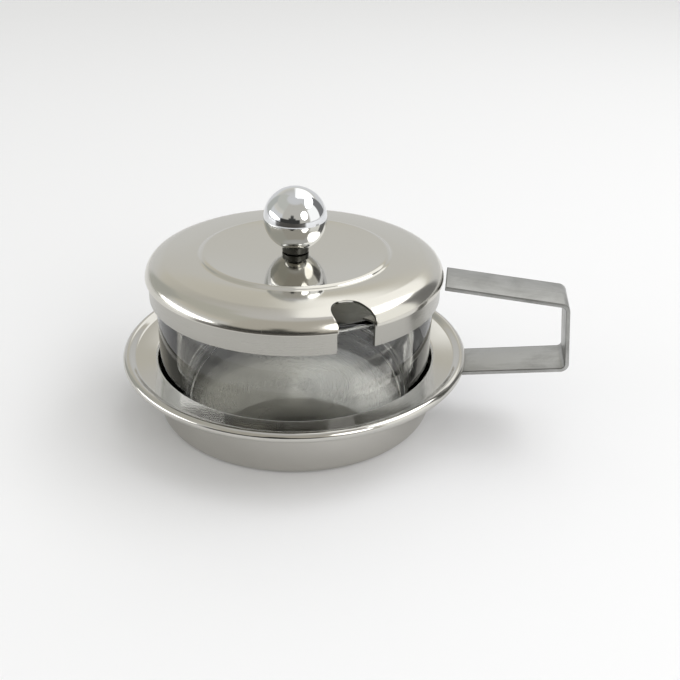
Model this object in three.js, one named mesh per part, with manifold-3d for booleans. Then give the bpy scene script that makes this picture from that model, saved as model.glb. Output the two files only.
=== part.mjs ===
// Parmesan dish: a round pressed tray with a strip handle, a thick glass bowl that stands in it,
// and a lift-off lid with a spoon notch and a ball knob.
// Millimetres, +Z up. The origin is the centre of the tray's flat base. The handle points along +X.

import * as THREE from 'three';
import { mergeVertices } from 'three/addons/utils/BufferGeometryUtils.js';
import Module from 'manifold-3d';

const wasm = await Module();
wasm.setup();

// Fineness of the round forms
const turnSteps = 60;
const smallTurnSteps = 32;
const arcStep = THREE.MathUtils.degToRad(24);

// Clearances, and how far a cutter runs past what it cuts
const seatGap = 0.3;
const bowlClearance = 0.5;
const lidClearance = 1.6;
const handleClearance = 0.8;
const overrun = 6;

// Tray: one pressed sheet with a sloping flange and a curled edge
const tray = {
  sheet: 0.7,
  wallRadius: 57,
  baseFillet: 3.1,
  flangeHeight: 24.2,
  flangeSlope: THREE.MathUtils.degToRad(6.1),
  flangeFillet: 1.7,
  flangeWidth: 13.6,
  curlRadius: 2,
  curlRise: -0.25,
  curlClimb: THREE.MathUtils.degToRad(40),
  curlFillet: 1.8,
  curlEnd: THREE.MathUtils.degToRad(-135),
};

// Handle: one flat strip bent twice, open towards the lid. Its reach is measured from the tray's rim,
// and its upper end stands level with the edge of the lid's shell.
const handle = {
  width: 20,
  thickness: 1.5,
  flangeGap: 0.35,
  setback: 2,
  reach: 40.05,
  endLift: 0.46,
  lowerRise: THREE.MathUtils.degToRad(8),
  backLean: THREE.MathUtils.degToRad(6.6),
  upperFall: THREE.MathUtils.degToRad(4.3),
  bendRadius: 2.6,
};

// Bowl: thick pressed glass with a full-round rim
const bowl = {
  height: 59,
  floor: 5,
  rimThickness: 4,
  baseThickness: 5.8,
  outerDraft: 0.2,
  outerFillet: 3.5,
  innerFillet: 5,
};

// Lid: a polished shell, and a satin skirt ring inside it whose seat rests on the bowl's rim
const ring = {
  sheet: 0.7,
  drop: 8.9,
  seatWidth: 5.1,
  bendRadius: 1,
};
const shell = {
  sheet: 0.8,
  ringGap: 0.36,
  edgeDrop: 0.6,
  edgeSlope: THREE.MathUtils.degToRad(84),
  straight: 0.2,
  shoulderRadius: 8,
  plateauRadius: 36.75,
  plateauHeight: 0.97,
  plateauSlope: THREE.MathUtils.degToRad(38),
  plateauFillet: 2,
  sink: 0.93,
  seatRadius: 6.5,
};
const notch = {
  width: 14.7,
  mouthDepth: 1.85,
  depth: 11,
  endWidth: 10.4,
  endShift: 3.1,
  endRadius: 6.3,
  bearing: THREE.MathUtils.degToRad(-58),
};

// Knob: a ball with a turned foot, held by a screw and a washer from inside the lid
const knob = {
  ballRadius: 12.5,
  ballLift: 1.28,
  footRadius: 5.25,
  boreDepth: 7.5,
};
const screw = {
  shankRadius: 2,
  tipGap: 0.8,
  headRadius: 3.9,
  headHeight: 2.2,
  headFillet: 1.4,
  slotWidth: 1,
  slotDepth: 0.9,
};
const washer = {
  radius: 5,
  thickness: 0.8,
};

// Levels and radii that pieces share
const trayInnerRadius = tray.wallRadius - tray.sheet;
const bowlRadius = trayInnerRadius - bowlClearance;
const bowlBase = tray.sheet + seatGap;
const bowlTop = bowlBase + bowl.height;
const seatLevel = bowlTop + seatGap;
const ringOuterRadius = bowlRadius + lidClearance + ring.sheet;
const shellRadius = ringOuterRadius + shell.ringGap + shell.sheet * Math.sin(shell.edgeSlope);
const shellEdgeLevel = seatLevel - shell.edgeDrop;
const shoulderRise = shell.straight * Math.sin(shell.edgeSlope)
  + (shell.shoulderRadius - shell.sheet / 2) * (1 - Math.cos(shell.edgeSlope));
const annulusLevel = shellEdgeLevel + shoulderRise + shell.sheet / 2;
const plateauLevel = annulusLevel + shell.plateauHeight;
const knobLevel = plateauLevel - shell.sink;
const shellHoleRadius = screw.shankRadius + seatGap;

const finishes = {
  satinSteel: { color: 0xb4b2aa, roughness: 0.34, metalness: 1 },
  polishedSteel: { color: 0xd2d2ce, roughness: 0.12, metalness: 1 },
  chrome: { color: 0xe0e2e4, roughness: 0.05, metalness: 1 },
  zincSteel: { color: 0xa8a8a4, roughness: 0.4, metalness: 1 },
  glass: { color: 0xeaf2ee, roughness: 0.03, metalness: 0, transparent: true, opacity: 0.35 },
};

// Points along an arc, both ends included
function arcPoints(center, radius, from, to) {
  const steps = Math.max(1, Math.ceil(Math.abs(to - from) / arcStep));
  return Array.from({ length: steps + 1 }, (_, i) => {
    const angle = from + ((to - from) * i) / steps;
    return new THREE.Vector2(Math.cos(angle), Math.sin(angle)).multiplyScalar(radius).add(center);
  });
}

// A line through corners [x, z, radius], with each corner rounded by an arc that its edges can hold
function roundedLine(corners) {
  const points = corners.map(([x, z]) => new THREE.Vector2(x, z));
  const last = points.length - 1;
  const line = [points[0]];
  for (let i = 1; i < last; i++) {
    const back = points[i - 1].clone().sub(points[i]);
    const ahead = points[i + 1].clone().sub(points[i]);
    const room = Math.min(back.length() / (i === 1 ? 1 : 2), ahead.length() / (i === last - 1 ? 1 : 2));
    back.normalize();
    ahead.normalize();
    const halfTurn = (Math.PI - Math.acos(back.dot(ahead))) / 2;
    const reach = Math.min((corners[i][2] ?? 0) * Math.tan(halfTurn), room);
    if (reach === 0) {
      line.push(points[i]);
      continue;
    }
    const radius = reach / Math.tan(halfTurn);
    const inward = back.clone().add(ahead).normalize();
    const center = points[i].clone().addScaledVector(inward, Math.hypot(radius, reach));
    const side = Math.sign(ahead.cross(back));
    const start = points[i].clone().addScaledVector(back, reach).sub(center).angle();
    line.push(...arcPoints(center, radius, start, start + side * 2 * halfTurn));
  }
  line.push(points[last]);
  return line;
}

// Closed outline of a sheet whose middle runs along a line: out along its right side and back on its left
function sheetOutline(line, thickness) {
  const side = (sign) => line.map((point, i) => {
    const before = point.clone().sub(line[Math.max(i - 1, 0)]);
    const after = line[Math.min(i + 1, line.length - 1)].clone().sub(point);
    const first = (i === 0 ? after : before).normalize();
    const second = (i === line.length - 1 ? before : after).normalize();
    const along = first.clone().add(second).normalize();
    const stretch = thickness / 2 / along.dot(first);
    return new THREE.Vector2(point.x + sign * along.y * stretch, point.y - sign * along.x * stretch);
  });
  return [...side(1), ...side(-1).reverse()];
}

// One closed mesh with shared corners and no empty triangles
function welded(geometry) {
  geometry.deleteAttribute('normal');
  geometry.deleteAttribute('uv');
  const merged = mergeVertices(geometry);
  const kept = [];
  for (let i = 0; i < merged.index.count; i += 3) {
    const corners = [0, 1, 2].map((k) => merged.index.getX(i + k));
    if (new Set(corners).size === 3) kept.push(...corners);
  }
  merged.setIndex(kept);
  return merged;
}

// Turns an outline, drawn as radius and height, about the Z axis
function turned(outline, steps) {
  const onAxis = outline[0].x === 0 && outline[outline.length - 1].x === 0;
  const profile = onAxis ? outline : [...outline, outline[0]];
  return welded(new THREE.LatheGeometry(profile, steps).rotateX(Math.PI / 2));
}

// Pushes an outline, drawn as X and Z, to both sides of the XZ plane
function pushed(outline, width) {
  const geometry = new THREE.ExtrudeGeometry(new THREE.Shape(outline), { depth: width, bevelEnabled: false });
  return welded(geometry.translate(0, 0, -width / 2).rotateX(Math.PI / 2));
}

function toSolid(geometry) {
  const { position } = geometry.attributes;
  const mesh = new wasm.Mesh({
    numProp: 3,
    vertProperties: new Float32Array(position.array),
    triVerts: new Uint32Array(geometry.index.array),
  });
  return new wasm.Manifold(mesh);
}

function cut(geometry, cutter) {
  const result = toSolid(geometry).subtract(toSolid(cutter)).getMesh();
  const left = new THREE.BufferGeometry();
  left.setAttribute('position', new THREE.BufferAttribute(result.vertProperties, 3));
  left.setIndex(new THREE.BufferAttribute(result.triVerts, 1));
  return left;
}

// Tray: the middle of its sheet from the axis out to the end of the curl
function trayLine() {
  const half = tray.sheet / 2;
  const wall = tray.wallRadius - half;
  const flangeStart = tray.flangeHeight - half;
  const curl = tray.curlRadius - half;
  const slope = Math.tan(tray.flangeSlope);
  const climb = Math.tan(tray.curlClimb);
  const centerRadius = tray.wallRadius + tray.flangeWidth - tray.curlRadius;
  const centerLevel = flangeStart + (centerRadius - wall) * slope + tray.curlRise;
  const center = new THREE.Vector2(centerRadius, centerLevel);
  const touch = tray.curlClimb + Math.PI / 2;
  const [top] = arcPoints(center, curl, touch, touch);
  const bendRadius = (top.x * climb - wall * slope + flangeStart - top.y) / (climb - slope);
  const bendLevel = flangeStart + (bendRadius - wall) * slope;
  const line = roundedLine([
    [0, half],
    [wall, half, tray.baseFillet - half],
    [wall, flangeStart, tray.flangeFillet - half],
    [bendRadius, bendLevel, tray.curlFillet],
    [top.x, top.y],
  ]);
  line.push(...arcPoints(center, curl, touch, tray.curlEnd).slice(1));
  return { line, bendRadius, bendLevel };
}

// Handle: the middle of the strip, from under the flange round to its free end beside the lid
function handleLine() {
  const { bendRadius, bendLevel } = trayLine();
  const half = handle.thickness / 2;
  const under = bendLevel - tray.sheet / 2 - handle.flangeGap - half;
  const lowerLevel = (radius) => under + (radius - bendRadius) * Math.tan(handle.lowerRise);
  const inner = tray.wallRadius + handle.setback;
  const corner = tray.wallRadius + tray.flangeWidth + handle.reach - half;
  const end = shellRadius + handleClearance;
  const endLevel = shellEdgeLevel + handle.endLift;
  const lean = Math.tan(handle.backLean);
  const fall = Math.tan(handle.upperFall);
  const drop = (corner - end + lowerLevel(corner) * lean) * fall;
  const upperLevel = (endLevel - drop) / (1 - lean * fall);
  const upperCorner = corner - (upperLevel - lowerLevel(corner)) * lean;
  return roundedLine([
    [inner, lowerLevel(inner)],
    [corner, lowerLevel(corner), handle.bendRadius],
    [upperCorner, upperLevel, handle.bendRadius],
    [end, endLevel],
  ]);
}

function makeHandle(clearance = 0) {
  const outline = sheetOutline(handleLine(), handle.thickness + 2 * clearance);
  return pushed(outline, handle.width + 2 * clearance);
}

// The curled edge is cut away where the strip passes through it
function makeTray() {
  const pressed = turned(sheetOutline(trayLine().line, tray.sheet), turnSteps);
  return cut(pressed, makeHandle(seatGap));
}

function makeBowl() {
  const rim = bowl.rimThickness / 2;
  const floorLevel = bowlBase + bowl.floor;
  return turned(roundedLine([
    [0, bowlBase],
    [bowlRadius - bowl.outerDraft, bowlBase, bowl.outerFillet],
    [bowlRadius, bowlTop, rim],
    [bowlRadius - bowl.rimThickness, bowlTop, rim],
    [bowlRadius - bowl.baseThickness, floorLevel, bowl.innerFillet],
    [0, floorLevel],
  ]), turnSteps);
}

// Cutter for the spoon notch: open at the lid's edge, with a round inner end that leans to one side
function notchCutter() {
  const half = notch.width / 2;
  const far = shellRadius + overrun;
  const mouth = shellRadius - notch.mouthDepth;
  const end = shellRadius - notch.depth;
  const outline = roundedLine([
    [far, half],
    [mouth, half],
    [end, notch.endWidth / 2 - notch.endShift, notch.endRadius],
    [end, -notch.endWidth / 2 - notch.endShift, notch.endRadius],
    [mouth, -half],
    [far, -half],
  ]);
  const low = seatLevel - ring.drop - overrun;
  const depth = plateauLevel + overrun - low;
  const geometry = new THREE.ExtrudeGeometry(new THREE.Shape(outline), { depth, bevelEnabled: false });
  return welded(geometry.translate(0, 0, low).rotateZ(notch.bearing));
}

// Shell: its top is dished down to a flat seat for the knob
function makeShell() {
  const half = shell.sheet / 2;
  const edge = shellRadius - half * Math.sin(shell.edgeSlope);
  const shoulder = edge - shoulderRise / Math.tan(shell.edgeSlope);
  const foot = shell.plateauRadius + shell.plateauHeight / Math.tan(shell.plateauSlope);
  const dish = [0.8, 0.6, 0.4, 0.2, 0].map((share) => [
    shell.seatRadius + (shell.plateauRadius - shell.seatRadius) * share,
    knobLevel - half + shell.sink * share ** 2,
  ]);
  const line = roundedLine([
    [edge, shellEdgeLevel],
    [shoulder, annulusLevel - half, shell.shoulderRadius - half],
    [foot, annulusLevel - half, shell.plateauFillet],
    [shell.plateauRadius, plateauLevel - half, shell.plateauFillet],
    ...dish,
    [shellHoleRadius, knobLevel - half],
  ]);
  return cut(turned(sheetOutline(line, shell.sheet), turnSteps), notchCutter());
}

function makeRing() {
  const half = ring.sheet / 2;
  const skirt = ringOuterRadius - half;
  const line = roundedLine([
    [skirt, seatLevel - ring.drop],
    [skirt, seatLevel + half, ring.bendRadius],
    [ringOuterRadius - ring.seatWidth, seatLevel + half],
  ]);
  return cut(turned(sheetOutline(line, ring.sheet), turnSteps), notchCutter());
}

function makeKnob() {
  const foot = knobLevel + seatGap;
  const center = new THREE.Vector2(0, knobLevel + knob.ballLift + knob.ballRadius);
  const bore = screw.shankRadius + seatGap;
  const from = -Math.acos(knob.footRadius / knob.ballRadius);
  const ball = arcPoints(center, knob.ballRadius, from, Math.PI / 2);
  ball[ball.length - 1].x = 0;
  return turned([
    new THREE.Vector2(0, foot + knob.boreDepth),
    new THREE.Vector2(bore, foot + knob.boreDepth),
    new THREE.Vector2(bore, foot),
    new THREE.Vector2(knob.footRadius, foot),
    ...ball,
  ], smallTurnSteps);
}

const washerTop = knobLevel - shell.sheet - seatGap;
const headTop = washerTop - washer.thickness - seatGap;

function makeWasher() {
  return turned([
    new THREE.Vector2(shellHoleRadius, washerTop - washer.thickness),
    new THREE.Vector2(washer.radius, washerTop - washer.thickness),
    new THREE.Vector2(washer.radius, washerTop),
    new THREE.Vector2(shellHoleRadius, washerTop),
  ], smallTurnSteps);
}

function makeScrew() {
  const headBase = headTop - screw.headHeight;
  const tip = knobLevel + seatGap + knob.boreDepth - screw.tipGap;
  const blank = turned(roundedLine([
    [0, headBase],
    [screw.headRadius, headBase, screw.headFillet],
    [screw.headRadius, headTop],
    [screw.shankRadius, headTop],
    [screw.shankRadius, tip],
    [0, tip],
  ]), smallTurnSteps);
  const across = screw.headRadius + overrun;
  const slot = pushed([
    new THREE.Vector2(-across, headBase - overrun),
    new THREE.Vector2(across, headBase - overrun),
    new THREE.Vector2(across, headBase + screw.slotDepth),
    new THREE.Vector2(-across, headBase + screw.slotDepth),
  ], screw.slotWidth);
  return cut(blank, slot);
}

function piece(name, geometry, finish) {
  geometry.computeVertexNormals();
  const mesh = new THREE.Mesh(geometry, new THREE.MeshStandardMaterial(finishes[finish]));
  mesh.name = name;
  return mesh;
}

const stand = new THREE.Group();
stand.add(
  piece('tray_dish', makeTray(), 'satinSteel'),
  piece('handle_strip', makeHandle(), 'satinSteel'),
);

const lid = new THREE.Group();
lid.add(
  piece('lid_shell', makeShell(), 'polishedSteel'),
  piece('lid_skirt_ring', makeRing(), 'satinSteel'),
  piece('ball_knob', makeKnob(), 'chrome'),
  piece('knob_washer', makeWasher(), 'zincSteel'),
  piece('knob_screw', makeScrew(), 'zincSteel'),
);

const dish = new THREE.Group();
dish.add(stand, piece('glass_bowl', makeBowl(), 'glass'), lid);

export default dish;
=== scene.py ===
# Parmesan dish: a steel tray with a strip handle, a thick glass bowl, and a lid with a spoon notch and a ball knob.
# The handle points along +X and the dish stands on the floor at height 0. The pieces' dictionaries hold millimetres
# and degrees. Looks and the studio are in metres, apart from what is marked.
from math import acos, atan2, cos, hypot, pi, radians, sin, tan

import bmesh
import bpy
from mathutils import Matrix, Vector


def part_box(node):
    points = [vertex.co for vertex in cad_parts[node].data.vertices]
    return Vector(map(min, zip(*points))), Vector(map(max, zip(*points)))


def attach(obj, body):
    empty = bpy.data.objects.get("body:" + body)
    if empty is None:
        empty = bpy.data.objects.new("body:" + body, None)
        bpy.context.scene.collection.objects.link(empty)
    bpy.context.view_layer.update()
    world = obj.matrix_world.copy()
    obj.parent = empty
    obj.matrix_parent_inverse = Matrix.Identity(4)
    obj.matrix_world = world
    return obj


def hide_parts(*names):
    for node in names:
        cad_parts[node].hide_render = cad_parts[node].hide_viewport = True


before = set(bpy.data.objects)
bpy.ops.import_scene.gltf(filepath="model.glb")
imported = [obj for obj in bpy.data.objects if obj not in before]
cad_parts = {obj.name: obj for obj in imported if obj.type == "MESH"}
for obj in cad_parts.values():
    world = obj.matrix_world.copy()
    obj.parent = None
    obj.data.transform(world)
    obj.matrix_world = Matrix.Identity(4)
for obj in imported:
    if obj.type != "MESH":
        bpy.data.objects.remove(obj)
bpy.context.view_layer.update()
mm = 0.001
scene = bpy.context.scene

# Camera first: it looks at the dish from the front, a little above, with the handle to its right
camera = {
    "distance": 323.63,   # level distance from the dish's axis
    "height": 197.82,
    "bearing": 10.9,      # the camera stands this far round from -Y towards the handle
    "heading": -3.271,    # and looks this far past the axis
    "pitch": 27.772,
    "roll": 1.32,
    "lens": 46.28,
    "sensor": 36.0,
    "nearest": 10.0,
}


def spotAround(bearing, elevation, distance, centre):
    # bearing 0 is straight behind the dish as the camera sees it, 90 is to its right, 180 is over the camera
    turn = radians(camera["bearing"] - bearing)
    level = distance * cos(radians(elevation))
    return Vector(centre) + Vector((-sin(turn) * level, cos(turn) * level, distance * sin(radians(elevation))))


def makeCamera():
    data = bpy.data.cameras.new("camera")
    data.lens = camera["lens"]
    data.sensor_width = camera["sensor"]
    data.clip_start = camera["nearest"] * mm
    eye = bpy.data.objects.new("camera", data)
    turn = radians(camera["bearing"])
    spot = Vector((sin(turn), -cos(turn), 0)) * camera["distance"] * mm
    spot.z = camera["height"] * mm
    look = Matrix.Rotation(radians(camera["bearing"] + camera["heading"]), 4, "Z")
    tilt = Matrix.Rotation(radians(90 - camera["pitch"]), 4, "X")
    roll = Matrix.Rotation(radians(camera["roll"]), 4, "Z")
    eye.matrix_world = Matrix.Translation(spot) @ look @ tilt @ roll
    scene.collection.objects.link(eye)
    scene.camera = eye


makeCamera()
print("camera placed")


# Shape helpers

def wireThrough(bm, corners, segments=10):
    # a wire in the XZ plane through corners (x, z, cut), where cut is the length taken off each edge by the rounding
    verts = [bm.verts.new((corner[0] * mm, 0, corner[1] * mm)) for corner in corners]
    for first, second in zip(verts, verts[1:]):
        bm.edges.new((first, second))
    last = verts[-1]
    for vert, corner in zip(verts, corners):
        if len(corner) > 2 and corner[2] > 0:
            bmesh.ops.bevel(bm, geom=[vert], offset=corner[2] * mm, offset_type="OFFSET", segments=segments,
                            profile=0.5, affect="VERTICES", material=-1)
    return last


def roundCut(radius, before, corner, after):
    # the length that an arc of this radius takes off each edge at a corner
    first = (Vector(corner[:2]) - Vector(before[:2])).normalized()
    second = (Vector(after[:2]) - Vector(corner[:2])).normalized()
    return radius * tan(acos(max(-1, min(1, first.dot(second)))) / 2)


def rounded(corners):
    # corners as (x, z, radius) become corners as (x, z, cut)
    result = []
    for index, corner in enumerate(corners):
        if len(corner) > 2:
            cut = roundCut(corner[2], corners[index - 1], corner, corners[index + 1])
            corner = (corner[0], corner[1], cut)
        result.append(corner)
    return result


def spinWire(bm, steps):
    weldWithin, smallest = 0.0005 * mm, 0.0001 * mm
    bmesh.ops.spin(bm, geom=bm.verts[:] + bm.edges[:], cent=(0, 0, 0), axis=(0, 0, 1), angle=2 * pi,
                   steps=steps, use_merge=True)
    bmesh.ops.remove_doubles(bm, verts=bm.verts[:], dist=weldWithin)
    bmesh.ops.dissolve_degenerate(bm, edges=bm.edges[:], dist=smallest)
    bmesh.ops.recalc_face_normals(bm, faces=bm.faces[:])


def pushVerts(bm, parts, vector):
    bmesh.ops.translate(bm, verts=[part for part in parts if isinstance(part, bmesh.types.BMVert)], vec=vector)


def objectFrom(bm, name):
    mesh = bpy.data.meshes.new(name)
    bm.to_mesh(mesh)
    bm.free()
    thing = bpy.data.objects.new(name, mesh)
    scene.collection.objects.link(thing)
    return thing


def thicken(thing, sheet):
    wall = thing.modifiers.new("sheet", "SOLIDIFY")
    wall.thickness = sheet * mm
    wall.offset = 0
    wall.use_even_offset = True


def cutWith(thing, cutter):
    cut = thing.modifiers.new("cut", "BOOLEAN")
    cut.operation = "DIFFERENCE"
    cut.solver = "EXACT"
    cut.object = cutter


def easeEdges(thing, width):
    ease = thing.modifiers.new("ease", "BEVEL")
    ease.width = width * mm
    ease.segments = 3
    ease.limit_method = "ANGLE"
    ease.angle_limit = radians(50)
    ease.use_clamp_overlap = True


def settle(thing, sharp=35, spare=()):
    # applies the modifiers, shades the faces and drops the spare cutters
    shaped = bpy.data.meshes.new_from_object(thing.evaluated_get(bpy.context.evaluated_depsgraph_get()))
    thing.modifiers.clear()
    thing.data = shaped
    shaped.name = thing.name
    for face in shaped.polygons:
        face.use_smooth = True
    shaped.set_sharp_from_angle(angle=radians(sharp))
    for cutter in spare:
        bpy.data.objects.remove(cutter)
    return thing


def dress(thing, material, body, node):
    thing.data.materials.clear()
    thing.data.materials.append(material)
    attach(thing, body)
    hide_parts(node)
    return thing


# Shader helpers

def addNode(tree, kind, **values):
    node = tree.nodes.new(kind)
    for name, value in values.items():
        if name in node.inputs:
            node.inputs[name].default_value = value
        else:
            setattr(node, name, value)
    return node


def feed(tree, socket, value):
    # value is a number, a colour or another node's output
    if isinstance(value, bpy.types.NodeSocket):
        tree.links.new(value, socket)
    else:
        socket.default_value = (*value, 1) if isinstance(value, tuple) else value


def mathNode(tree, operation, *values):
    node = tree.nodes.new("ShaderNodeMath")
    node.operation = operation
    for socket, value in zip(node.inputs, values):
        feed(tree, socket, value)
    return node.outputs[0]


def mixColours(tree, share, first, second):
    mix = addNode(tree, "ShaderNodeMix", data_type="RGBA")
    for slot, value in ((0, share), (6, first), (7, second)):
        feed(tree, mix.inputs[slot], value)
    return mix.outputs[2]


def smoothRamp(tree, value, start, end):
    # 0 up to the start and 1 from the end on
    ramp = addNode(tree, "ShaderNodeMapRange", interpolation_type="SMOOTHSTEP")
    for label, given in (("Value", value), ("From Min", start), ("From Max", end)):
        feed(tree, ramp.inputs[label], given)
    return ramp.outputs["Result"]


def clamped(tree, value, low=0.0, high=1.0):
    clamp = addNode(tree, "ShaderNodeClamp", Min=low, Max=high)
    tree.links.new(value, clamp.inputs[0])
    return clamp.outputs[0]


def objectPlace(tree):
    return addNode(tree, "ShaderNodeTexCoord").outputs["Object"]


def splitPlace(tree, place):
    split = addNode(tree, "ShaderNodeSeparateXYZ")
    tree.links.new(place, split.inputs[0])
    return split.outputs


def axisDistance(tree, parts):
    squares = [mathNode(tree, "MULTIPLY", parts[index], parts[index]) for index in (0, 1)]
    return mathNode(tree, "SQRT", mathNode(tree, "ADD", *squares))


def stretched(tree, place, factors):
    stretch = addNode(tree, "ShaderNodeVectorMath", operation="MULTIPLY")
    stretch.inputs[1].default_value = factors
    tree.links.new(place, stretch.inputs[0])
    return stretch.outputs[0]


def noiseOver(tree, place, scale, **values):
    noise = addNode(tree, "ShaderNodeTexNoise", **values)
    tree.links.new(place, noise.inputs["Vector"])
    feed(tree, noise.inputs["Scale"], scale)
    return noise.outputs[0]


def newGroup(name, inputs, outputs):
    group = bpy.data.node_groups.new(name, "ShaderNodeTree")
    for label, value in inputs.items():
        socket = group.interface.new_socket(name=label, in_out="INPUT", socket_type="NodeSocketFloat")
        socket.default_value = value
    for label in outputs:
        group.interface.new_socket(name=label, in_out="OUTPUT", socket_type="NodeSocketFloat")
    return group, group.nodes.new("NodeGroupInput"), group.nodes.new("NodeGroupOutput")


def makeTurnedLines():
    # fine rings round the Z axis, as a lathe or a polishing wheel leaves them, calmer in places
    group, given, result = newGroup("turnedLines", {"Lines Per Millimetre": 3.0, "Breakup": 0.4}, ["Lines"])
    patchScale = 55.0
    place = objectPlace(group)
    parts = splitPlace(group, place)
    scale = mathNode(group, "MULTIPLY", given.outputs["Lines Per Millimetre"], 1 / mm)
    across = addNode(group, "ShaderNodeCombineXYZ")
    group.links.new(mathNode(group, "MULTIPLY", axisDistance(group, parts), scale), across.inputs[0])
    group.links.new(mathNode(group, "MULTIPLY", parts[2], scale), across.inputs[1])
    rings = noiseOver(group, across.outputs[0], 1.0, Detail=3.0, Roughness=0.6)
    patches = noiseOver(group, place, patchScale, Detail=2.0)
    calm = mathNode(group, "SUBTRACT", 1.0, mathNode(group, "MULTIPLY", patches, given.outputs["Breakup"]))
    lines = mathNode(group, "MULTIPLY_ADD", mathNode(group, "SUBTRACT", rings, 0.5), calm, 0.5)
    group.links.new(lines, result.inputs["Lines"])
    return group


def makeHandling():
    # cloudy wipe marks and finger marks that change how sharply the steel mirrors
    group, given, result = newGroup("handling", {"Scale": 30.0, "Contrast": 1.0}, ["Marks"])
    wideShare = 0.4
    place = objectPlace(group)
    wideScale = mathNode(group, "MULTIPLY", given.outputs["Scale"], wideShare)
    wide = noiseOver(group, place, wideScale, Detail=2.0)
    clouds = noiseOver(group, place, given.outputs["Scale"], Detail=6.0, Roughness=0.65, Distortion=0.6)
    both = mathNode(group, "MULTIPLY", clouds, mathNode(group, "ADD", wide, 0.5))
    marks = mathNode(group, "MULTIPLY_ADD", mathNode(group, "SUBTRACT", both, 0.5), given.outputs["Contrast"], 0.5)
    group.links.new(marks, result.inputs["Marks"])
    return group


def makeScratches():
    # sparse hairline scratches that run one way, turned by Turn degrees; a higher Reach leaves fewer
    group, given, result = newGroup("scratches", {"Turn": 20.0, "Density": 90.0, "Reach": 0.74}, ["Scratch"])
    thinness, sharpness = 46.0, 14.0
    turn = addNode(group, "ShaderNodeVectorRotate", rotation_type="Z_AXIS")
    group.links.new(objectPlace(group), turn.inputs["Vector"])
    group.links.new(mathNode(group, "RADIANS", given.outputs["Turn"]), turn.inputs["Angle"])
    along = stretched(group, turn.outputs[0], (1.0, thinness, 1.0))
    hair = noiseOver(group, along, given.outputs["Density"], Detail=1.0)
    near = mathNode(group, "MAXIMUM", mathNode(group, "SUBTRACT", hair, given.outputs["Reach"]), 0.0)
    group.links.new(mathNode(group, "MULTIPLY", near, sharpness), result.inputs["Scratch"])
    return group


def makeBeyond():
    # 0 near the Z axis and 1 beyond the radius End, both radii in millimetres
    group, given, result = newGroup("beyond", {"Start": 40.0, "End": 50.0}, ["Share"])
    radius = mathNode(group, "MULTIPLY", axisDistance(group, splitPlace(group, objectPlace(group))), 1 / mm)
    share = smoothRamp(group, radius, given.outputs["Start"], given.outputs["End"])
    group.links.new(share, result.inputs["Share"])
    return group


turnedLines = makeTurnedLines()
beyond = makeBeyond()
handling = makeHandling()
scratches = makeScratches()


def useGroup(tree, group, **values):
    node = tree.nodes.new("ShaderNodeGroup")
    node.node_tree = group
    for label, value in values.items():
        feed(tree, node.inputs[label.replace("_", " ")], value)
    return node.outputs[0]


def newMaterial(name, colour, **values):
    material = bpy.data.materials.new(name)
    material.use_nodes = True
    tree = material.node_tree
    shader = tree.nodes["Principled BSDF"]
    feed(tree, shader.inputs["Base Color"], colour)
    for label, value in values.items():
        shader.inputs[label.replace("_", " ")].default_value = value
    return material, tree, shader


def bumpFrom(tree, shader, height, distance):
    bump = addNode(tree, "ShaderNodeBump", Strength=1.0, Distance=distance)
    tree.links.new(height, bump.inputs["Height"])
    tree.links.new(bump.outputs[0], shader.inputs["Normal"])


# A look gives a colour, the roughness from low to high, the lines in each millimetre, how much rougher the lines and
# the scratches are, the depth of the lines, and how much the marks of handling show
roughLimits = (0.02, 0.8)
scratchDepth = 0.4      # as a share of the lines' depth


def steel(name, look):
    aniso = look.get("aniso", 0.0)
    material, tree, shader = newMaterial(name, look["colour"], Metallic=1.0, Anisotropic=aniso)
    if aniso:
        tangent = addNode(tree, "ShaderNodeTangent", direction_type="RADIAL", axis="Z")
        tree.links.new(tangent.outputs[0], shader.inputs["Tangent"])
    lines = useGroup(tree, turnedLines, Lines_Per_Millimetre=look["lines"])
    marks = useGroup(tree, handling, Contrast=look["marks"])
    scratch = useGroup(tree, scratches, Turn=look.get("turn", 20.0), Reach=look.get("reach", 0.74))
    low, high = look["rough"]
    rough = mathNode(tree, "MULTIPLY_ADD", marks, high - low, low)
    rough = mathNode(tree, "MULTIPLY_ADD", mathNode(tree, "SUBTRACT", lines, 0.5), look["lineRough"], rough)
    rough = mathNode(tree, "MULTIPLY_ADD", scratch, look["scratchRough"], rough)
    if "rougherBeyond" in look:
        start, end, more = look["rougherBeyond"]
        rough = mathNode(tree, "MULTIPLY_ADD", useGroup(tree, beyond, Start=start, End=end), more, rough)
    tree.links.new(clamped(tree, rough, *roughLimits), shader.inputs["Roughness"])
    height = mathNode(tree, "SUBTRACT", lines, mathNode(tree, "MULTIPLY", scratch, scratchDepth))
    bumpFrom(tree, shader, height, look["depth"])
    return material


# the well's floor is coloured darker than its wall: painted shade under the glass bowl and lid
shadedFloorLook = {
    "colour": (0.41, 0.4, 0.371), "rough": (0.24, 0.32), "lines": 4.0, "lineRough": 0.07, "scratchRough": 0.05,
    "depth": 0.0000012, "marks": 1.1, "aniso": 0.8,
}
wellLook = dict(shadedFloorLook, colour=(0.52, 0.51, 0.475), rough=(0.16, 0.24))
flangeLook = {
    "colour": (0.55, 0.538, 0.505), "rough": (0.05, 0.13), "lines": 1.8, "lineRough": 0.07, "scratchRough": 0.1,
    "depth": 0.0000008, "marks": 1.6, "reach": 0.75,
}
polishedLook = {
    "colour": (0.61, 0.593, 0.545), "rough": (0.04, 0.09), "lines": 1.6, "lineRough": 0.04, "scratchRough": 0.12,
    "depth": 0.0000004, "marks": 1.2, "reach": 0.75, "turn": 64.0,
    "rougherBeyond": (38.0, 57.0, 0.1),     # from this radius to that, mm, and by how much
}
ringLook = {
    "colour": (0.43, 0.42, 0.388), "rough": (0.22, 0.3), "lines": 3.2, "lineRough": 0.14, "scratchRough": 0.06,
    "depth": 0.000003, "marks": 1.0, "aniso": 0.3,
}
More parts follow.
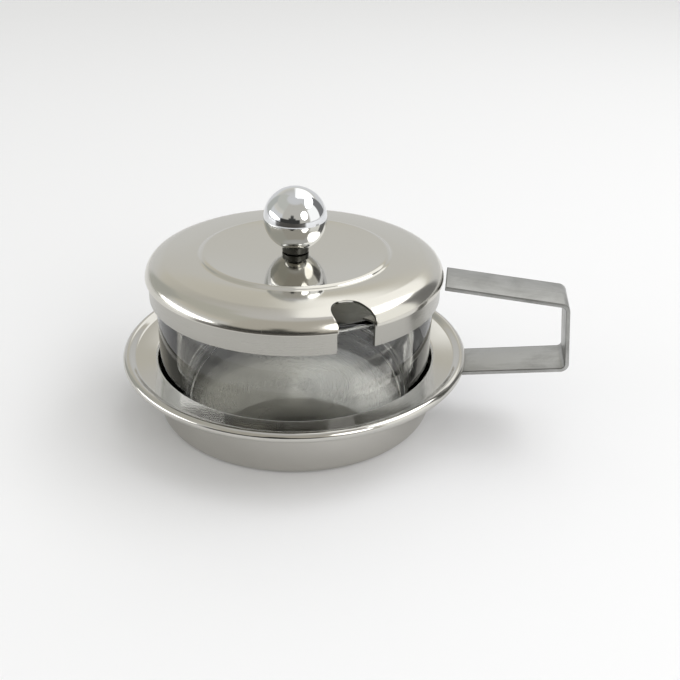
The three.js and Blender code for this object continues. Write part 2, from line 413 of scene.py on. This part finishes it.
shadedFloorSteel = steel("shadedFloorSteel", shadedFloorLook)
wellSteel = steel("wellSteel", wellLook)
flangeSteel = steel("flangeSteel", flangeLook)
polishedSteel = steel("polishedSteel", polishedLook)
skirtSteel = steel("skirtSteel", ringLook)


def makeStripSteel(name, look):
    # flat strip: cloudy stains, fine hairs along its length, small pits, and painted shade along the long arrises and
    # on the end beside the lid
    material, tree, shader = newMaterial(name, look["light"], Metallic=1.0)
    place = objectPlace(tree)
    grain = noiseOver(tree, place, look["grain"], Detail=4.0, Roughness=0.7)
    marks = useGroup(tree, handling, Scale=look["markScale"], Contrast=look["marks"])
    low, high = look["rough"]
    rough = mathNode(tree, "MULTIPLY_ADD", marks, high - low, low)
    rough = mathNode(tree, "MULTIPLY_ADD", grain, look["grainRough"], rough)
    tree.links.new(rough, shader.inputs["Roughness"])
    pits = addNode(tree, "ShaderNodeTexVoronoi", Scale=look["pitScale"], Randomness=1.0)
    tree.links.new(place, pits.inputs["Vector"])
    chosen = mathNode(tree, "GREATER_THAN", pits.outputs["Color"], look["pitChoice"])
    pit = mathNode(tree, "MULTIPLY", chosen, mathNode(tree, "LESS_THAN", pits.outputs["Distance"], look["pitSize"]))
    stains = useGroup(tree, handling, Scale=look["stainScale"], Contrast=look["stains"])
    hair = noiseOver(tree, stretched(tree, place, look["hairs"]), 1.0, Detail=3.0, Roughness=0.6)
    hair = mathNode(tree, "MULTIPLY_ADD", hair, look["hairShare"], -look["hairShare"] / 2)
    cloudy = clamped(tree, mathNode(tree, "ADD", stains, hair))
    colour = mixColours(tree, cloudy, look["dark"], look["light"])
    colour = mixColours(tree, mathNode(tree, "MULTIPLY", pit, look["pitShare"]), colour, look["pit"])
    parts = splitPlace(tree, place)
    # painted shade: the long arrises and the end beside the lid are mixed towards the pits' dark colour
    arris = smoothRamp(tree, mathNode(tree, "ABSOLUTE", parts["Y"]), *look["arris"])
    end = mathNode(tree, "MULTIPLY", mathNode(tree, "LESS_THAN", parts["X"], look["end"][0]),
                   mathNode(tree, "GREATER_THAN", parts["Z"], look["end"][1]))
    edgeShade = mathNode(tree, "MULTIPLY", mathNode(tree, "MAXIMUM", arris, end), look["edgeShade"])
    tree.links.new(mixColours(tree, edgeShade, colour, look["pit"]), shader.inputs["Base Color"])
    height = mathNode(tree, "SUBTRACT", mathNode(tree, "MULTIPLY", grain, look["grainHeight"]), pit)
    bumpFrom(tree, shader, height, look["depth"])
    return material


stripLook = {
    "light": (0.43, 0.43, 0.42), "dark": (0.3, 0.3, 0.288), "pit": (0.1, 0.1, 0.092),
    "rough": (0.26, 0.42), "grain": 900.0, "grainRough": 0.06, "grainHeight": 0.5, "depth": 0.00002,
    "markScale": 90.0, "marks": 1.6, "stainScale": 55.0, "stains": 3.2,
    "pitScale": 190.0, "pitChoice": 0.86, "pitSize": 0.13, "pitShare": 0.7,
    "hairs": (60.0, 1400.0, 60.0), "hairShare": 0.9,
    "arris": (0.0093, 0.0097),      # the painted shade line along each long edge fades in between these, from the middle
    "end": (0.0605, 0.045),         # painted shade lies on the end beside the lid nearer the axis than this, above this height
    "edgeShade": 0.75,
}
stripSteel = makeStripSteel("stripSteel", stripLook)
stripEdge = makeStripSteel("stripEdge", dict(stripLook, light=(0.48, 0.48, 0.47), edgeShade=0.0))


def plainMetal(name, look):
    # no turned lines, only marks of handling that change the roughness
    material, tree, shader = newMaterial(name, look["colour"], Metallic=look["metallic"])
    marks = useGroup(tree, handling, Scale=look["scale"], Contrast=look["marks"])
    low, high = look["rough"]
    tree.links.new(mathNode(tree, "MULTIPLY_ADD", marks, high - low, low), shader.inputs["Roughness"])
    return material


dullLook = {"metallic": 0.7, "scale": 400.0, "marks": 1.4, "rough": (0.2, 0.4)}
chromeLook = {"colour": (0.74, 0.75, 0.765), "metallic": 1.0, "scale": 120.0, "marks": 0.8, "rough": (0.005, 0.055)}
zincLook = {"colour": (0.58, 0.58, 0.56), "metallic": 1.0, "scale": 300.0, "marks": 1.4, "rough": (0.28, 0.48)}
# the knob's neck is painted near black as the shade under the ball
shadedNeck = plainMetal("shadedNeck", dict(dullLook, colour=(0.055, 0.055, 0.05)))
# cut faces painted near black as shade, round the notch and on the strip's end beside the lid
shadedCutSteel = plainMetal("shadedCutSteel", dict(dullLook, colour=(0.09, 0.088, 0.075)))
ballChrome = plainMetal("ballChrome", chromeLook)
zincSteel = plainMetal("zincSteel", zincLook)

glassLook = {
    "colour": (0.985, 0.992, 0.988), "bending": 1.5, "scale": 45.0, "marks": 1.0, "rough": (-0.026, 0.014),
    "ripple": 42.0, "rippleDepth": 0.00008,
}


def makeGlass():
    # a faint print of handling on an otherwise clear surface, and the slow ripple of pressed glass
    material, tree, shader = newMaterial("clearGlass", glassLook["colour"], IOR=glassLook["bending"],
                                         Transmission_Weight=1.0)
    marks = useGroup(tree, handling, Scale=glassLook["scale"], Contrast=glassLook["marks"])
    low, high = glassLook["rough"]
    rough = mathNode(tree, "MAXIMUM", mathNode(tree, "MULTIPLY_ADD", marks, high - low, low), 0.0)
    tree.links.new(rough, shader.inputs["Roughness"])
    ripple = noiseOver(tree, objectPlace(tree), glassLook["ripple"], Detail=1.0)
    bumpFrom(tree, shader, ripple, glassLook["rippleDepth"])
    return material


clearGlass = makeGlass()
print("materials made")


# Sizes that pieces share come from the frame
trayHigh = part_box("tray_dish")[1]
bowlLow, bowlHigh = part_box("glass_bowl")
shellLow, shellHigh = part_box("lid_shell")
ringLow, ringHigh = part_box("lid_skirt_ring")
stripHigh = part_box("handle_strip")[1]
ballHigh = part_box("ball_knob")[1]
gap = 0.3     # stays open between pieces that would touch

tray = {
    "steps": 288,
    "sheet": 0.7,
    "wall": 57.0,           # outer face of the wall
    "rim": trayHigh[0] / mm,
    "baseFillet": 3.1,
    "flange": 24.2,         # where the flange's top would meet the wall
    "slope": 6.1,
    "flangeFillet": 1.7,
    "curl": 2.0,            # outer radius of the curled edge
    "curlRise": -0.25,
    "climb": 40.0,          # the sheet climbs onto the curl at this angle
    "curlFillet": 1.8,
    "curlTurn": 265.0,
    "curlSteps": 26,
    "ease": 0.12,
    "inside": 0.45,         # faces this far inside the wall's outer face belong to the well,
    "wellHigh": 22.5,       # up to this height,
    "level": 0.95,          # and to its floor where their normals point up by this much
}


def trayLine():
    half = tray["sheet"] / 2
    wall = tray["wall"] - half
    start = tray["flange"] - half
    slope = tan(radians(tray["slope"]))
    climb = tan(radians(tray["climb"]))
    curl = tray["curl"] - half
    centreX = tray["rim"] - tray["curl"]
    centreZ = start + (centreX - wall) * slope + tray["curlRise"]
    topX = centreX - curl * sin(radians(tray["climb"]))
    topZ = centreZ + curl * cos(radians(tray["climb"]))
    bendX = (topX * climb - wall * slope + start - topZ) / (climb - slope)
    bendZ = start + (bendX - wall) * slope
    corners = rounded([(0, half), (wall, half, tray["baseFillet"] - half), (wall, start, tray["flangeFillet"] - half),
                       (bendX, bendZ, tray["curlFillet"]), (topX, topZ)])
    return corners, (centreX, centreZ), (bendX, bendZ)


strip = {
    "width": round(2 * stripHigh[1] / mm, 3),
    "thickness": 1.5,
    "underFlange": 0.35,
    "start": 2.0,            # its hidden end stands this far outside the tray's wall
    "reach": 53.65,          # and the lower corner of its back this far
    "lowerRise": 8.0,        # slope of the lower leg
    "lean": 6.6,             # of the back, towards the dish
    "fall": 4.3,             # and of the upper leg
    "bend": 2.6,
    "end": shellHigh[0] / mm + 0.8,          # its free end stops this far from the lid's edge
    "endLevel": shellLow[2] / mm + 0.5,
    "ease": 0.2,
    "sideways": 0.9,         # faces that point sideways by this much are the long edges
    "endWithin": 65.0,       # and the cut end lies nearer the axis than this
}


def stripLine():
    bendX, bendZ = trayLine()[2]
    half = strip["thickness"] / 2
    rise, lean, fall = (tan(radians(strip[key])) for key in ("lowerRise", "lean", "fall"))
    under = bendZ - tray["sheet"] / 2 - strip["underFlange"] - half
    cornerX = tray["wall"] + strip["reach"] - half
    cornerZ = under + (cornerX - bendX) * rise
    upperZ = (strip["endLevel"] - (cornerX - strip["end"] + cornerZ * lean) * fall) / (1 - lean * fall)
    upperX = cornerX - (upperZ - cornerZ) * lean
    inner = tray["wall"] + strip["start"]
    return rounded([(inner, under + (inner - bendX) * rise), (cornerX, cornerZ, strip["bend"]),
                    (upperX, upperZ, strip["bend"]), (strip["end"], strip["endLevel"])])


def makeStrip(name, clearance=0.0):
    bm = bmesh.new()
    wireThrough(bm, stripLine())
    width = (strip["width"] + 2 * clearance) * mm
    bmesh.ops.translate(bm, verts=bm.verts[:], vec=(0, -width / 2, 0))
    pushed = bmesh.ops.extrude_edge_only(bm, edges=bm.edges[:])
    pushVerts(bm, pushed["geom"], (0, width, 0))
    bmesh.ops.recalc_face_normals(bm, faces=bm.faces[:])
    thing = objectFrom(bm, name)
    thicken(thing, strip["thickness"] + 2 * clearance)
    return thing


def makeTray():
    corners, centre, _ = trayLine()
    bm = bmesh.new()
    last = wireThrough(bm, corners)
    bmesh.ops.spin(bm, geom=[last], cent=(centre[0] * mm, 0, centre[1] * mm), axis=(0, 1, 0),
                   angle=radians(tray["curlTurn"]), steps=tray["curlSteps"], use_merge=False)
    spinWire(bm, tray["steps"])
    thing = objectFrom(bm, "tray_dish_fine")
    thicken(thing, tray["sheet"])
    cutter = makeStrip("curlCutter", gap)
    cutWith(thing, cutter)
    easeEdges(thing, tray["ease"])
    return settle(thing, spare=[cutter])


def finishTrayInside(thing):
    # the well keeps its turned lines, with its floor painted darker than its wall as shade under the glass bowl and
    # lid, and the rest of the tray is polished
    thing.data.materials.append(shadedFloorSteel)
    thing.data.materials.append(wellSteel)
    for face in thing.data.polygons:
        middle = face.center
        across = hypot(middle.x, middle.y)
        if across < (tray["wall"] - tray["inside"]) * mm and middle.z < tray["wellHigh"] * mm:
            if face.normal.z > tray["level"]:
                face.material_index = 1
            elif face.normal.x * middle.x + face.normal.y * middle.y < 0:
                face.material_index = 2


finishTrayInside(dress(makeTray(), flangeSteel, "tray", "tray_dish"))
print("tray made")


def makeHandle():
    thing = makeStrip("handle_strip_fine")
    easeEdges(thing, strip["ease"])
    return settle(thing)


def finishHandle(thing):
    # the long edges are a little brighter, and the cut end beside the lid is painted near black as shade
    thing.data.materials.append(stripEdge)
    thing.data.materials.append(shadedCutSteel)
    for face in thing.data.polygons:
        if abs(face.normal.y) > strip["sideways"]:
            face.material_index = 1
        elif face.normal.x < -strip["sideways"] and face.center.x < strip["endWithin"] * mm:
            face.material_index = 2


finishHandle(dress(makeHandle(), stripSteel, "tray", "handle_strip"))
print("handle made")

bowl = {
    "steps": 256,
    "radius": bowlHigh[0] / mm,
    "base": bowlLow[2] / mm,
    "top": bowlHigh[2] / mm,
    "floor": 5.0,
    "rim": 4.0,
    "wallAtBase": 5.8,
    "draft": 0.2,
    "outerFillet": 3.5,
    "innerFillet": 3.2,
    "footRing": 47.5,       # inside this radius the underside is raised a little
    "footRise": 0.7,
    "footBevel": 1.2,
    "footFillet": 0.5,
    "rimShare": 0.999,      # of half the rim, so that its two roundings stay apart
    "segments": 12,
}


def makeBowl():
    radius = bowl["radius"]
    floor = bowl["base"] + bowl["floor"]
    half = bowl["rim"] / 2 * bowl["rimShare"]
    raised = bowl["base"] + bowl["footRise"]
    bm = bmesh.new()
    wireThrough(bm, rounded([
        (0, raised), (bowl["footRing"] - bowl["footBevel"], raised, bowl["footFillet"]),
        (bowl["footRing"], bowl["base"], bowl["footFillet"]),
        (radius - bowl["draft"], bowl["base"], bowl["outerFillet"]),
        (radius, bowl["top"], half), (radius - bowl["rim"], bowl["top"], half),
        (radius - bowl["wallAtBase"], floor, bowl["innerFillet"]), (0, floor)]), segments=bowl["segments"])
    spinWire(bm, bowl["steps"])
    return settle(objectFrom(bm, "glass_bowl_fine"), sharp=60)


dress(makeBowl(), clearGlass, "bowl", "glass_bowl")
print("bowl made")

shell = {
    "steps": 320,
    "sheet": 0.8,
    "radius": shellHigh[0] / mm,
    "edge": shellLow[2] / mm + 0.042,        # height of the sheet's middle at its lower edge
    "edgeSlope": 84.0,
    "straight": 0.2,
    "shoulder": 8.0,
    "lowShoulder": 6.4,      # the shoulder turns tightly above its edge, and more gently towards the top
    "highShoulder": 10.8,
    "middleSlope": 30.0,
    "domeSlope": 4.2,
    "step": 0.97,            # the round middle stands this much proud
    "sink": 0.93,            # and is dished by this much, down to a flat seat for the knob
    "seat": 6.5,
    "stepSlope": 38.0,
    "middle": 36.75,
    "stepFillet": 2.0,
    "hole": 2.3,
    "apart": 0.02,           # straight left between two roundings
    "domeSteps": 10,
    "dishSteps": 20,
    "segments": 14,
    "ease": 0.12,
}
ring = {
    "steps": 320,
    "sheet": 0.7,
    "radius": ringHigh[0] / mm,
    "low": ringLow[2] / mm,
    "high": ringHigh[2] / mm,
    "seat": 5.1,
    "bend": 1.0,
    "segments": 14,
    "ease": 0.14,
}
notch = {
    "width": 14.7,
    "mouth": 1.5,            # its sides are parallel over this depth, and then run onto a round end
    "endDepth": 4.65,        # from the shell's edge to the middle of the round end
    "endShift": 1.73,        # which stands to one side
    "endRadius": 6.4,
    "endSteps": 48,
    "bearing": -57.5,
    "past": 8.0,             # the cutter runs on past the edge
    "below": 4.0,            # and below the skirt
    "cutFrom": 44.0,         # its cut faces lie beyond this distance from the axis,
    "cutHalf": 10.0,         # this near its own middle line,
    "upright": 0.4,          # and their normals rise or fall by less than this
    "edgeFrom": 52.0,        # beyond this distance
    "edgeFacing": 0.75,      # a face that points outward by this much is the edge, not a cut
}


def makeNotchCutter():
    half, outer, mouth = notch["width"] / 2, shell["radius"] + notch["past"], shell["radius"] - notch["mouth"]
    middle = Vector((shell["radius"] - notch["endDepth"], -notch["endShift"]))
    touches = []
    for side in (1, -1):
        away = Vector((mouth, side * half)) - middle
        touches.append(atan2(away.y, away.x) + side * acos(min(1, notch["endRadius"] / away.length)))
    start = middle + notch["endRadius"] * Vector((cos(touches[0]), sin(touches[0])))
    bottom, top = ring["low"] - notch["below"], ballHigh[2] / mm
    bm = bmesh.new()
    last = wireThrough(bm, [(outer, half), (mouth, half), (start.x, start.y)])
    bmesh.ops.spin(bm, geom=[last], cent=(middle.x * mm, 0, middle.y * mm), axis=(0, 1, 0),
                   angle=-(touches[1] + 2 * pi - touches[0]), steps=notch["endSteps"], use_merge=False)
    bm.verts.ensure_lookup_table()
    tail = bm.verts[-1]
    for x, z in ((mouth, -half), (outer, -half)):
        following = bm.verts.new((x * mm, 0, z * mm))
        bm.edges.new((tail, following))
        tail = following
    bmesh.ops.contextual_create(bm, geom=bm.edges[:])
    turn = Matrix.Rotation(radians(notch["bearing"]), 3, "Z") @ Matrix.Rotation(radians(-90), 3, "X")
    bmesh.ops.rotate(bm, verts=bm.verts[:], cent=(0, 0, 0), matrix=turn)
    bmesh.ops.translate(bm, verts=bm.verts[:], vec=(0, 0, bottom * mm))
    raised = bmesh.ops.extrude_face_region(bm, geom=bm.faces[:])
    pushVerts(bm, raised["geom"], (0, 0, (top - bottom) * mm))
    bmesh.ops.recalc_face_normals(bm, faces=bm.faces[:])
    return objectFrom(bm, "notchCutter")


def makeSheetPiece(name, corners, values):
    bm = bmesh.new()
    wireThrough(bm, rounded(corners), segments=values["segments"])
    spinWire(bm, values["steps"])
    thing = objectFrom(bm, name)
    thicken(thing, values["sheet"])
    cutter = makeNotchCutter()
    cutWith(thing, cutter)
    easeEdges(thing, values["ease"])
    return settle(thing, spare=[cutter])


def shellLevels():
    # heights of the sheet's middle on the flat round the top, on the rim of the dished middle and on the knob's seat
    slope = radians(shell["edgeSlope"])
    rise = shell["straight"] * sin(slope) + (shell["shoulder"] - shell["sheet"] / 2) * (1 - cos(slope))
    flat = shell["edge"] + rise
    return flat, flat + shell["step"], flat + shell["step"] - shell["sink"]


def alongSlope(point, slope, length):
    return point[0] - length * cos(radians(slope)), point[1] + length * sin(radians(slope))


def makeShell():
    half = shell["sheet"] / 2
    edge = (shell["radius"] - half * sin(radians(shell["edgeSlope"])), shell["edge"])
    flat, top, seat = shellLevels()
    foot = shell["middle"] + shell["step"] / tan(radians(shell["stepSlope"]))
    lowCut = shell["lowShoulder"] * tan(radians(shell["edgeSlope"] - shell["middleSlope"]) / 2)
    highCut = shell["highShoulder"] * tan(radians(shell["middleSlope"] - shell["domeSlope"]) / 2)
    low = alongSlope(edge, shell["edgeSlope"], shell["straight"] + lowCut)
    high = alongSlope(low, shell["middleSlope"], lowCut + highCut + shell["apart"])
    outer = alongSlope(high, shell["domeSlope"], highCut + shell["apart"])
    corners = [edge, (*low, shell["lowShoulder"]), (*high, shell["highShoulder"])]
    for step in range(shell["domeSteps"], 0, -1):
        share = step / shell["domeSteps"]
        corners.append((foot + (outer[0] - foot) * share, flat - (flat - outer[1]) * share ** 2))
    corners += [(foot, flat, shell["stepFillet"]), (shell["middle"], top, shell["stepFillet"])]
    for step in range(shell["dishSteps"] - 1, -1, -1):
        share = step / shell["dishSteps"]
        corners.append((shell["seat"] + (shell["middle"] - shell["seat"]) * share, seat + shell["sink"] * share ** 2))
    return makeSheetPiece("lid_shell_fine", corners + [(shell["hole"], seat)], shell)


def darkenCut(thing):
    # the sheet's cut faces round the notch are dull and painted near black as shade
    thing.data.materials.append(shadedCutSteel)
    turn = Matrix.Rotation(-radians(notch["bearing"]), 3, "Z")
    for face in thing.data.polygons:
        middle, normal = turn @ face.center, turn @ face.normal
        outward = Vector((middle.x, middle.y, 0)).normalized()
        beside = middle.x > notch["cutFrom"] * mm and abs(middle.y) < notch["cutHalf"] * mm
        if beside and abs(normal.z) < notch["upright"]:
            if middle.length < notch["edgeFrom"] * mm or abs(normal.dot(outward)) < notch["edgeFacing"]:
                face.material_index = 1


def makeRing():
    half = ring["sheet"] / 2
    skirt = ring["radius"] - half
    seat = ring["high"] - half
    corners = [(skirt, ring["low"]), (skirt, seat, ring["bend"]), (ring["radius"] - ring["seat"], seat)]
    return makeSheetPiece("lid_skirt_ring_fine", corners, ring)


darkenCut(dress(makeShell(), polishedSteel, "lid", "lid_shell"))
darkenCut(dress(makeRing(), skirtSteel, "lid", "lid_skirt_ring"))
print("lid made")

knob = {
    "steps": 128,
    "ball": 12.5,
    "top": ballHigh[2] / mm,
    "foot": shellLevels()[2] + shell["sheet"] / 2 + gap,
    "footRadius": 5.25,
    "bore": 2.3,
    "boreDepth": 7.5,
    "footEase": 0.25,
    "segments": 4,
    "ballSteps": 72,
    "neckMargin": 0.02,
    "onAxis": 0.001,        # points this near the axis are put on it
}


def knobLevels():
    # heights of the ball's centre and of its join with the foot
    centre = knob["top"] - knob["ball"]
    return centre, centre - (knob["ball"] ** 2 - knob["footRadius"] ** 2) ** 0.5


def makeKnob():
    centre, join = knobLevels()
    bm = bmesh.new()
    last = wireThrough(bm, [(0, knob["foot"] + knob["boreDepth"]), (knob["bore"], knob["foot"] + knob["boreDepth"]),
                            (knob["bore"], knob["foot"]), (knob["footRadius"], knob["foot"], knob["footEase"]),
                            (knob["footRadius"], join)], segments=knob["segments"])
    sweep = pi / 2 + atan2(centre - join, knob["footRadius"])
    bmesh.ops.spin(bm, geom=[last], cent=(0, 0, centre * mm), axis=(0, 1, 0), angle=-sweep,
                   steps=knob["ballSteps"], use_merge=False)
    for vert in bm.verts:
        if abs(vert.co.x) < knob["onAxis"] * mm:
            vert.co.x = 0
    spinWire(bm, knob["steps"])
    return settle(objectFrom(bm, "ball_knob_fine"))


def darkenNeck(thing):
    # the neck under the ball is dull and painted near black as the shade under the ball
    thing.data.materials.append(shadedNeck)
    join = knobLevels()[1]
    for face in thing.data.polygons:
        if face.center.z < (join + knob["neckMargin"]) * mm:
            face.material_index = 1


darkenNeck(dress(makeKnob(), ballChrome, "lid", "ball_knob"))
for name in ("knob_washer", "knob_screw"):
    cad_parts[name].data.materials.clear()
    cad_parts[name].data.materials.append(zincSteel)
print("knob made")

# Studio: a pale paper floor, a room that the steel mirrors, and three soft lamps
studio = {
    "floor": (0.9, 0.905, 0.93),
    "floorSize": 12.0,
    "floorRough": 0.6,
    "floorShine": 0.25,
    "edge": (0.25, 0.33),            # as mirroring metal sees it, the floor turns dark this far in front,
    "edgeBearing": 198,              # round this bearing,
    "edgeFacing": (0.5, 0.66),       # fading in between these cosines of the angle away from it
    "edgeColour": (0.05, 0.045, 0.04),
    "behind": (0.93, 0.93, 0.94),    # what the camera itself sees past the floor
    # tones of the room, from 0 straight below to 1 straight above
    "levels": ((0.0, (0.76, 0.765, 0.77)), (0.5, (0.76, 0.765, 0.77)), (0.668, (0.76, 0.765, 0.765)),
               (0.69, (0.74, 0.738, 0.72)), (0.715, (0.74, 0.735, 0.715)), (0.722, (0.74, 0.72, 0.65)),
               (0.85, (0.62, 0.61, 0.57)), (1.0, (0.72, 0.72, 0.72))),
    "strength": 1.0,
    "lampAim": (0, 0, 0.05),
}

# Parts of the room: bearing of the middle, half width, lowest, highest, softness and side softness in degrees, colour
roomParts = [
    (38, 38, 29.5, 84, 2.4, 8, (1.42, 1.42, 1.4)),
    (66, 18, -8, 40, 5, 6, (0.22, 0.22, 0.22)),
    (106, 24, -8, 38, 4, 6, (1.25, 1.25, 1.22)),
    (178, 52, -8, 66, 8, 8, (0.58, 0.56, 0.51)),
    (192, 6, 8, 27, 8, 5, (0.08, 0.08, 0.075)),
    (192, 13, -12, 17, 6, 6, (0.06, 0.06, 0.055)),
    (200, 36, -12.5, 12, 4, 6, (0.05, 0.05, 0.047)),
    (275, 47, 38, 66, 8, 8, (0.6, 0.6, 0.55)),
    (306, 16, 0, 38, 5, 8, (0.52, 0.53, 0.5)),
]


def makeFloor():
    bm = bmesh.new()
    bmesh.ops.create_grid(bm, x_segments=1, y_segments=1, size=studio["floorSize"] / 2)
    floor = objectFrom(bm, "floor")
    material, tree, shader = newMaterial("floorPaper", studio["floor"], Roughness=studio["floorRough"],
                                         Specular_IOR_Level=studio["floorShine"])
    # only mirroring metal sees the floor turn dark in front of the dish
    parts = splitPlace(tree, objectPlace(tree))
    across = axisDistance(tree, parts)
    bearing = radians(studio["edgeBearing"] - camera["bearing"])
    along = mathNode(tree, "MULTIPLY_ADD", parts[0], sin(bearing), mathNode(tree, "MULTIPLY", parts[1], cos(bearing)))
    past = smoothRamp(tree, across, *studio["edge"])
    facing = smoothRamp(tree, mathNode(tree, "DIVIDE", along, across), *studio["edgeFacing"])
    glossy = addNode(tree, "ShaderNodeLightPath").outputs["Is Glossy Ray"]
    share = mathNode(tree, "MULTIPLY", mathNode(tree, "MULTIPLY", past, facing), glossy)
    tree.links.new(mixColours(tree, share, studio["floor"], studio["edgeColour"]), shader.inputs["Base Color"])
    floor.data.materials.append(material)


def makeRoomPart():
    # 1 inside a patch of the room, 0 outside; all angles in degrees
    values = {"Bearing": 0.0, "Elevation": 0.0, "Middle": 0.0, "Half Width": 30.0, "Low": 0.0, "High": 30.0,
              "Softness": 3.0, "Side Softness": 3.0}
    group, given, result = newGroup("roomPart", values, ["Inside"])

    def ramped(value, softness="Softness"):
        return smoothRamp(group, mathNode(group, "DIVIDE", value, given.outputs[softness]), -0.5, 0.5)

    turned = mathNode(group, "SUBTRACT", given.outputs["Bearing"], given.outputs["Middle"])
    wrapped = mathNode(group, "WRAP", turned, 180.0, -180.0)
    away = mathNode(group, "SUBTRACT", given.outputs["Half Width"], mathNode(group, "ABSOLUTE", wrapped))
    above = mathNode(group, "SUBTRACT", given.outputs["Elevation"], given.outputs["Low"])
    below = mathNode(group, "SUBTRACT", given.outputs["High"], given.outputs["Elevation"])
    heights = mathNode(group, "MULTIPLY", ramped(above), ramped(below))
    inside = mathNode(group, "MULTIPLY", ramped(away, "Side Softness"), heights)
    group.links.new(inside, result.inputs["Inside"])
    return group


def makeRoom():
    world = bpy.data.worlds.new("room")
    scene.world = world
    world.use_nodes = True
    tree = world.node_tree
    tree.nodes.clear()
    turn = addNode(tree, "ShaderNodeVectorRotate", rotation_type="Z_AXIS", Angle=-radians(camera["bearing"]))
    tree.links.new(addNode(tree, "ShaderNodeTexCoord").outputs["Generated"], turn.inputs["Vector"])
    parts = splitPlace(tree, turn.outputs[0])
    bearing = mathNode(tree, "DEGREES", mathNode(tree, "ARCTAN2", parts[0], parts[1]))
    elevation = mathNode(tree, "DEGREES", mathNode(tree, "ARCSINE", parts[2]))
    ramp = tree.nodes.new("ShaderNodeValToRGB")
    while len(ramp.color_ramp.elements) < len(studio["levels"]):
        ramp.color_ramp.elements.new(0.5)
    for element, (position, colour) in zip(ramp.color_ramp.elements, studio["levels"]):
        element.position = position
        element.color = (*colour, 1)
    tree.links.new(mathNode(tree, "MULTIPLY_ADD", parts[2], 0.5, 0.5), ramp.inputs[0])
    colour = ramp.outputs[0]
    roomPart = makeRoomPart()
    for middle, halfWidth, low, high, softness, sideSoftness, tone in roomParts:
        share = useGroup(tree, roomPart, Bearing=bearing, Elevation=elevation, Middle=middle, Half_Width=halfWidth,
                         Low=low, High=high, Softness=softness, Side_Softness=sideSoftness)
        colour = mixColours(tree, share, colour, tone)
    seen = mixColours(tree, addNode(tree, "ShaderNodeLightPath").outputs["Is Camera Ray"], colour, studio["behind"])
    background = addNode(tree, "ShaderNodeBackground", Strength=studio["strength"])
    tree.links.new(seen, background.inputs[0])
    output = tree.nodes.new("ShaderNodeOutputWorld")
    tree.links.new(background.outputs[0], output.inputs[0])


lamps = [
    # name, bearing, elevation, distance, width, height, level
    ("rightLamp", 84, 51, 1.5, 1.5, 0.66, 2.1),
    ("frontLamp", 145, 25, 1.5, 0.66, 0.8, 2.6),
    ("leftLamp", 266, 8, 1.5, 1.5, 0.32, 3.0),
]


def makeLamps():
    for name, bearing, elevation, distance, width, height, level in lamps:
        data = bpy.data.lights.new(name, "AREA")
        data.shape = "ELLIPSE"
        data.size = width
        data.size_y = height
        data.energy = level * pi * width * height
        lamp = bpy.data.objects.new(name, data)
        lamp.location = spotAround(bearing, elevation, distance, studio["lampAim"])
        aim = Vector(studio["lampAim"]) - lamp.location
        lamp.rotation_euler = aim.to_track_quat("-Z", "Y").to_euler()
        lamp.visible_camera = False
        scene.collection.objects.link(lamp)


makeFloor()
makeRoom()
makeLamps()
scene.view_settings.view_transform = "Standard"
print("studio made")
